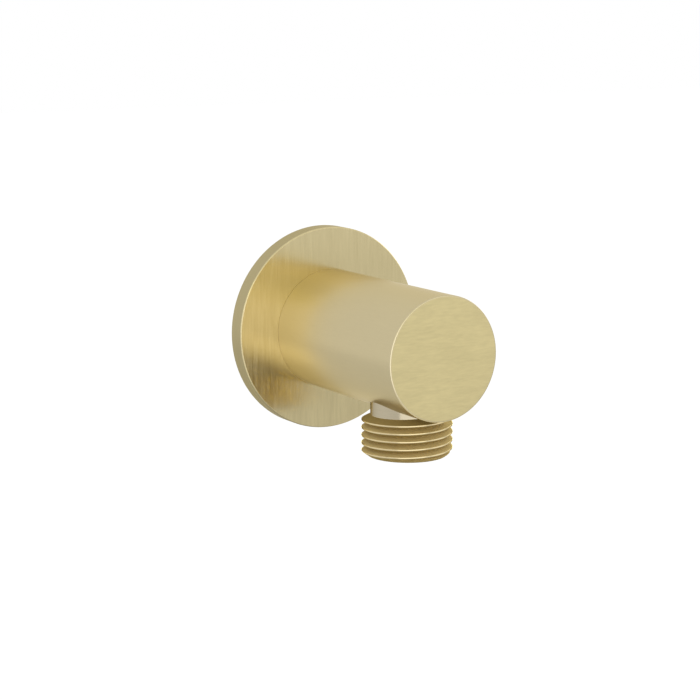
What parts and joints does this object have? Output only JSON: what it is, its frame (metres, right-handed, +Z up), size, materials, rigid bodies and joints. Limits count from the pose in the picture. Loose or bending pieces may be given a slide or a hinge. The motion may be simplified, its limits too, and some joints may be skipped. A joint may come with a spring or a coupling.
{
  "type": "wall outlet elbow",
  "caption": "Round brushed brass wall elbow with a flat rose, a threaded inlet to the wall and a threaded outlet for a shower hose below.",
  "frame": {"origin": "middle of the rose's back face, on the body's axis and on the face of the wall", "axes": "+Y into the wall along the body's axis, +Z up, the outlet points along -Z"},
  "size_m": [0.049, 0.0662, 0.049],
  "materials": {
    "brushed_brass": "brushed satin",
    "turned_brass": "turned, polished neck",
    "soft_seal": "matt black"
  },
  "bodies": {
    "root": {"elbow_body": "brushed_brass", "wall_rose": "brushed_brass", "outlet_nipple": "turned_brass", "wall_gasket": "soft_seal", "rose_ring": "soft_seal", "nipple_seal": "soft_seal"}
  },
  "joints": []
}
